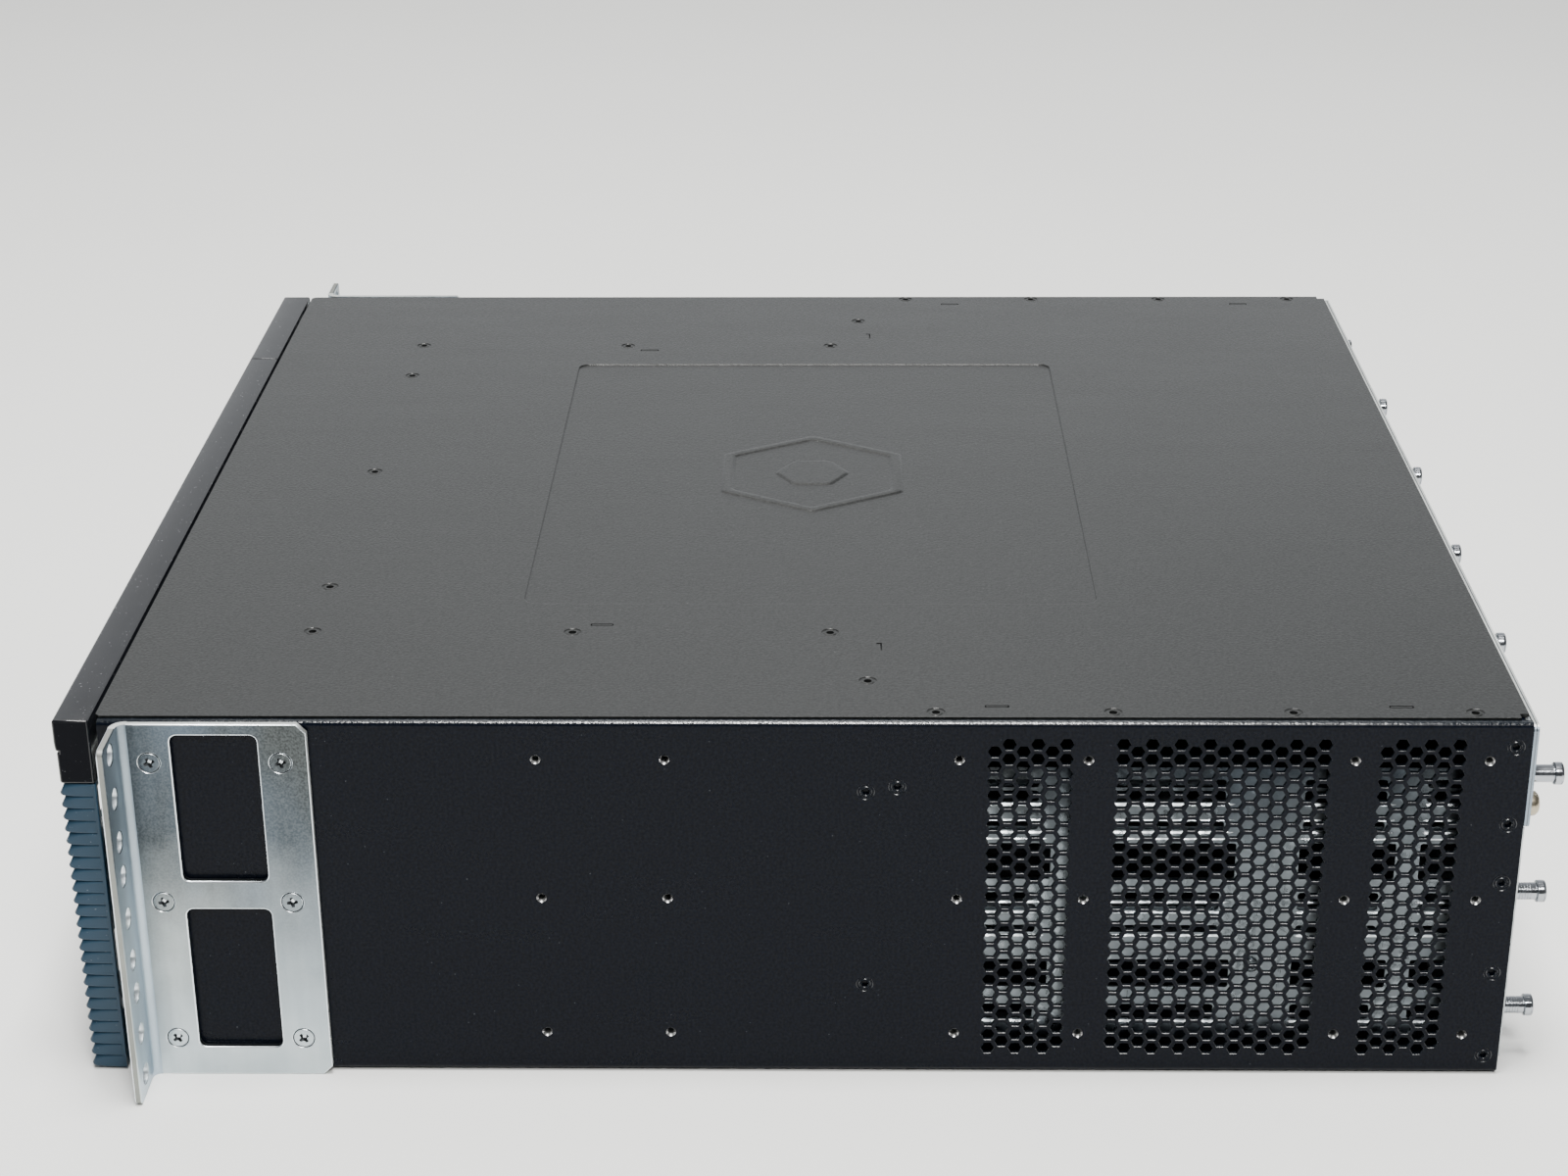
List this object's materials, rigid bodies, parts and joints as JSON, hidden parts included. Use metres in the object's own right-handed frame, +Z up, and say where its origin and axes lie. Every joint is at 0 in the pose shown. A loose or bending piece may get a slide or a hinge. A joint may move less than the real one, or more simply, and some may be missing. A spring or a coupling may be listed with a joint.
{
  "type": "rack-mount network security appliance",
  "caption": "Rack-mount chassis three units high with honeycomb side vents, a ribbed pull-off bezel, bolted rack ears, and plug-in modules held by thumbscrews at the rear.",
  "frame": {"origin": "middle of the footprint, on the surface that the chassis stands on", "axes": "+X to the right seen from the front, +Y towards the rear, where the thumbscrews are, +Z up"},
  "size_m": [0.4826, 0.4922, 0.1333],
  "materials": {
    "powder_coat_top": "fine-textured powder coat, soft sheen",
    "powder_coat_side": "fine-textured powder coat, near black",
    "zinc_plate": "bluish zinc plating, slightly mottled",
    "galvanised": "galvanised sheet, dull spangle",
    "nickel": "polished nickel plating",
    "black_gloss": "piano-black gloss",
    "slate_blue": "satin moulded plastic",
    "silver_plate": "bright plated sheet",
    "circuit_green": "solder mask on fibreglass",
    "aluminium": "bare extruded",
    "black_plastic": "satin moulded plastic"
  },
  "bodies": {
    "chassis": {"chassis_wrap": "powder_coat_side", "top_cover": "powder_coat_top", "front_bulkhead": "galvanised", "rear_frame": "galvanised", "midplane_board": "circuit_green", "card_cage_right": "galvanised", "card_cage_left": "galvanised", "tray_shelf": "galvanised", "bay_divider": "galvanised", "rack_ear_right": "zinc_plate", "rack_ear_left": "zinc_plate", "ear_screw_right_1": "zinc_plate", "ear_screw_right_2": "zinc_plate", "ear_screw_right_3": "zinc_plate", "ear_screw_right_4": "zinc_plate", "ear_screw_right_5": "zinc_plate", "ear_screw_right_6": "zinc_plate", "ear_screw_left_1": "zinc_plate", "ear_screw_left_2": "zinc_plate", "ear_screw_left_3": "zinc_plate", "ear_screw_left_4": "zinc_plate", "ear_screw_left_5": "zinc_plate", "ear_screw_left_6": "zinc_plate", "psu_1_case": "galvanised", "psu_1_inlet": "black_plastic", "psu_2_case": "galvanised", "psu_2_inlet": "black_plastic", "fan_tray": "galvanised"},
    "bezel": {"bezel_grille": "slate_blue", "bezel_cap": "black_gloss", "bezel_cap_end": "black_gloss"},
    "psu_1_rocker": {"psu_1_switch": "black_plastic"},
    "psu_2_rocker": {"psu_2_switch": "black_plastic"},
    "fan_1": {"fan_rotor_1": "black_plastic"},
    "fan_2": {"fan_rotor_2": "black_plastic"},
    "processor_tray": {"processor_tray": "silver_plate", "processor_board": "circuit_green", "heat_sink": "aluminium", "port_block": "nickel"},
    "tray_screw_right": {"tray_screw_right": "nickel"},
    "tray_screw_left": {"tray_screw_left": "nickel"},
    "card_blank_1": {"card_blank_1": "galvanised"},
    "card_screw_1": {"card_screw_1": "nickel"},
    "card_blank_2": {"card_blank_2": "galvanised"},
    "card_screw_2": {"card_screw_2": "nickel"},
    "card_blank_3": {"card_blank_3": "galvanised"},
    "card_screw_3": {"card_screw_3": "nickel"},
    "card_blank_4": {"card_blank_4": "galvanised"},
    "card_screw_4": {"card_screw_4": "nickel"},
    "module_blank_1": {"module_blank_1": "galvanised"},
    "module_screw_1": {"module_screw_1": "nickel"},
    "module_blank_2": {"module_blank_2": "galvanised"},
    "module_screw_2": {"module_screw_2": "nickel"},
    "module_blank_3": {"module_blank_3": "galvanised"},
    "module_screw_3": {"module_screw_3": "nickel"},
    "module_blank_4": {"module_blank_4": "galvanised"},
    "module_screw_4": {"module_screw_4": "nickel"}
  },
  "joints": [
    {"name": "bezel_pull", "type": "slide", "parent": "chassis", "child": "bezel", "axis": [0, -1, 0], "range_m": [0, 0.06]},
    {"name": "psu_1_rock", "type": "hinge", "parent": "chassis", "child": "psu_1_rocker", "pos_m": [0.148, -0.22473, 0.0264], "axis": [1, 0, 0], "range_deg": [-6, 6]},
    {"name": "psu_2_rock", "type": "hinge", "parent": "chassis", "child": "psu_2_rocker", "pos_m": [0.148, -0.22473, 0.091], "axis": [1, 0, 0], "range_deg": [-6, 6]},
    {"name": "fan_1_spin", "type": "hinge", "parent": "chassis", "child": "fan_1", "pos_m": [-0.16, -0.21573, 0.0667], "axis": [0, 1, 0], "continuous": true},
    {"name": "fan_2_spin", "type": "hinge", "parent": "chassis", "child": "fan_2", "pos_m": [-0.058, -0.21573, 0.0667], "axis": [0, 1, 0], "continuous": true},
    {"name": "processor_tray_slide", "type": "slide", "parent": "chassis", "child": "processor_tray", "axis": [0, 1, 0], "range_m": [0, 0.2]},
    {"name": "tray_screw_right_turn", "type": "hinge", "parent": "processor_tray", "child": "tray_screw_right", "pos_m": [0.211, 0.23808, 0.111], "axis": [0, 1, 0], "continuous": true},
    {"name": "tray_screw_left_turn", "type": "hinge", "parent": "processor_tray", "child": "tray_screw_left", "pos_m": [-0.211, 0.23808, 0.111], "axis": [0, 1, 0], "continuous": true},
    {"name": "card_blank_1_slide", "type": "slide", "parent": "processor_tray", "child": "card_blank_1", "axis": [0, 1, 0], "range_m": [0, 0.03]},
    {"name": "card_screw_1_turn", "type": "hinge", "parent": "card_blank_1", "child": "card_screw_1", "pos_m": [-0.12, 0.23908, 0.1155], "axis": [0, 1, 0], "continuous": true},
    {"name": "card_blank_2_slide", "type": "slide", "parent": "processor_tray", "child": "card_blank_2", "axis": [0, 1, 0], "range_m": [0, 0.03]},
    {"name": "card_screw_2_turn", "type": "hinge", "parent": "card_blank_2", "child": "card_screw_2", "pos_m": [-0.04, 0.23908, 0.1155], "axis": [0, 1, 0], "continuous": true},
    {"name": "card_blank_3_slide", "type": "slide", "parent": "processor_tray", "child": "card_blank_3", "axis": [0, 1, 0], "range_m": [0, 0.03]},
    {"name": "card_screw_3_turn", "type": "hinge", "parent": "card_blank_3", "child": "card_screw_3", "pos_m": [0.04, 0.23908, 0.1155], "axis": [0, 1, 0], "continuous": true},
    {"name": "card_blank_4_slide", "type": "slide", "parent": "processor_tray", "child": "card_blank_4", "axis": [0, 1, 0], "range_m": [0, 0.03]},
    {"name": "card_screw_4_turn", "type": "hinge", "parent": "card_blank_4", "child": "card_screw_4", "pos_m": [0.12, 0.23908, 0.1155], "axis": [0, 1, 0], "continuous": true},
    {"name": "module_blank_1_slide", "type": "slide", "parent": "chassis", "child": "module_blank_1", "axis": [0, 1, 0], "range_m": [0, 0.03]},
    {"name": "module_screw_1_turn", "type": "hinge", "parent": "module_blank_1", "child": "module_screw_1", "pos_m": [0.206, 0.23808, 0.0195], "axis": [0, 1, 0], "continuous": true},
    {"name": "module_blank_2_slide", "type": "slide", "parent": "chassis", "child": "module_blank_2", "axis": [0, 1, 0], "range_m": [0, 0.03]},
    {"name": "module_screw_2_turn", "type": "hinge", "parent": "module_blank_2", "child": "module_screw_2", "pos_m": [-0.206, 0.23808, 0.0195], "axis": [0, 1, 0], "continuous": true},
    {"name": "module_blank_3_slide", "type": "slide", "parent": "chassis", "child": "module_blank_3", "axis": [0, 1, 0], "range_m": [0, 0.03]},
    {"name": "module_screw_3_turn", "type": "hinge", "parent": "module_blank_3", "child": "module_screw_3", "pos_m": [0.206, 0.23808, 0.064], "axis": [0, 1, 0], "continuous": true},
    {"name": "module_blank_4_slide", "type": "slide", "parent": "chassis", "child": "module_blank_4", "axis": [0, 1, 0], "range_m": [0, 0.03]},
    {"name": "module_screw_4_turn", "type": "hinge", "parent": "module_blank_4", "child": "module_screw_4", "pos_m": [-0.206, 0.23808, 0.064], "axis": [0, 1, 0], "continuous": true}
  ]
}
